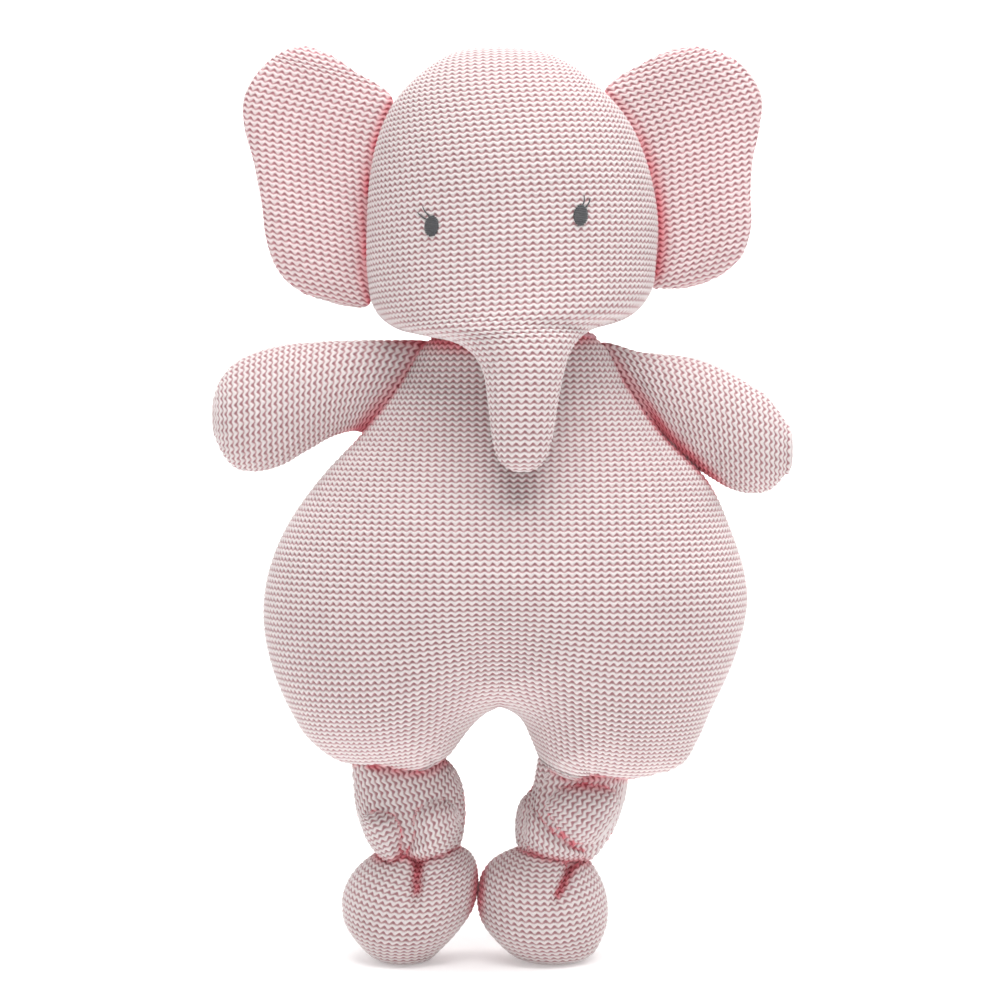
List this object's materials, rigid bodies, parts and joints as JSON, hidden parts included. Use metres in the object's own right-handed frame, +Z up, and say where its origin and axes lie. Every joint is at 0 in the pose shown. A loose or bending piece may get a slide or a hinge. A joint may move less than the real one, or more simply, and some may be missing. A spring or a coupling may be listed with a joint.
{
  "type": "stuffed elephant",
  "caption": "Knitted stuffed elephant with a pear-shaped body, floppy ears, a hanging trunk, mitten arms and knotted legs on ball feet.",
  "frame": {"origin": "centre of the bounding box at the height of the soles", "axes": "+Z up, the front faces -Y, +X to the right seen from the front"},
  "size_m": [0.2214, 0.1231, 0.35],
  "materials": {
    "knit": "reverse stockinette knit",
    "ear_knit": "reverse stockinette knit, pinker",
    "stuffing": "loose polyester fibre",
    "seam_thread": "matte linking yarn",
    "eye_thread": "satin-stitch embroidery thread",
    "label": "blank woven tape"
  },
  "bodies": {
    "body": {"torso_front_panel": "knit", "torso_back_panel": "knit", "torso_side_seam": "seam_thread", "torso_stuffing": "stuffing", "back_closing_seam": "seam_thread", "care_label": "label"},
    "neck": {"neck_stitching": "seam_thread"},
    "head": {"head_front_panel": "knit", "head_back_panel": "knit", "head_side_seam": "seam_thread", "head_stuffing": "stuffing", "left_eye": "eye_thread", "left_lashes": "eye_thread", "right_eye": "eye_thread", "right_lashes": "eye_thread"},
    "trunk": {"trunk_skin": "knit", "trunk_stuffing": "stuffing"},
    "left_ear": {"left_ear_front_panel": "ear_knit", "left_ear_back_panel": "ear_knit", "left_ear_edge_seam": "seam_thread", "left_ear_batting": "stuffing", "left_ear_root_stitching": "seam_thread"},
    "left_arm": {"left_arm_skin": "knit", "left_arm_stuffing": "stuffing", "left_shoulder_stitching": "seam_thread"},
    "left_leg": {"left_leg_knot": "knit"},
    "left_foot": {"left_foot_skin": "knit", "left_foot_stuffing": "stuffing"},
    "right_ear": {"right_ear_front_panel": "ear_knit", "right_ear_back_panel": "ear_knit", "right_ear_edge_seam": "seam_thread", "right_ear_batting": "stuffing", "right_ear_root_stitching": "seam_thread"},
    "right_arm": {"right_arm_skin": "knit", "right_arm_stuffing": "stuffing", "right_shoulder_stitching": "seam_thread"},
    "right_leg": {"right_leg_knot": "knit"},
    "right_foot": {"right_foot_skin": "knit", "right_foot_stuffing": "stuffing"}
  },
  "joints": [
    {"name": "head_turn", "type": "hinge", "parent": "body", "child": "neck", "pos_m": [0.004, 0.0014, 0.226], "axis": [0, 0, 1], "range_deg": [-25, 25]},
    {"name": "head_nod", "type": "hinge", "parent": "neck", "child": "head", "pos_m": [0.004, 0.0014, 0.226], "axis": [1, 0, 0], "range_deg": [-15, 6]},
    {"name": "trunk_lift", "type": "hinge", "parent": "head", "child": "trunk", "pos_m": [0.0069, -0.045, 0.243], "axis": [-1, 0, 0], "range_deg": [0, 75], "stiffness_Nm_per_rad": 0.02},
    {"name": "left_ear_flap", "type": "hinge", "parent": "head", "child": "left_ear", "pos_m": [-0.05245, 0.0014, 0.251], "axis": [0.0568, 0, 0.9984], "range_deg": [-35, 35], "stiffness_Nm_per_rad": 0.01},
    {"name": "left_arm_swing", "type": "hinge", "parent": "body", "child": "left_arm", "pos_m": [-0.0545, 0.0014, 0.202], "axis": [0.5651, 0, 0.825], "range_deg": [-35, 35], "stiffness_Nm_per_rad": 0.02},
    {"name": "left_leg_swing", "type": "hinge", "parent": "body", "child": "left_leg", "pos_m": [-0.0354, 0.0014, 0.078], "axis": [-1, 0, 0], "range_deg": [-30, 25]},
    {"name": "left_foot_tilt", "type": "hinge", "parent": "left_leg", "child": "left_foot", "pos_m": [-0.0354, 0.0014, 0.043], "axis": [-1, 0, 0], "range_deg": [-15, 15]},
    {"name": "right_ear_flap", "type": "hinge", "parent": "head", "child": "right_ear", "pos_m": [0.06433, 0.0014, 0.25815], "axis": [0.178, 0, -0.984], "range_deg": [-35, 35], "stiffness_Nm_per_rad": 0.01},
    {"name": "right_arm_swing", "type": "hinge", "parent": "body", "child": "right_arm", "pos_m": [0.0675, 0.0014, 0.1975], "axis": [0.5643, 0, -0.8256], "range_deg": [-35, 35], "stiffness_Nm_per_rad": 0.02},
    {"name": "right_leg_swing", "type": "hinge", "parent": "body", "child": "right_leg", "pos_m": [0.027, 0.0014, 0.0765], "axis": [-1, 0, 0], "range_deg": [-30, 25]},
    {"name": "right_foot_tilt", "type": "hinge", "parent": "right_leg", "child": "right_foot", "pos_m": [0.018, 0.0014, 0.0425], "axis": [-1, 0, 0], "range_deg": [-15, 15]}
  ]
}
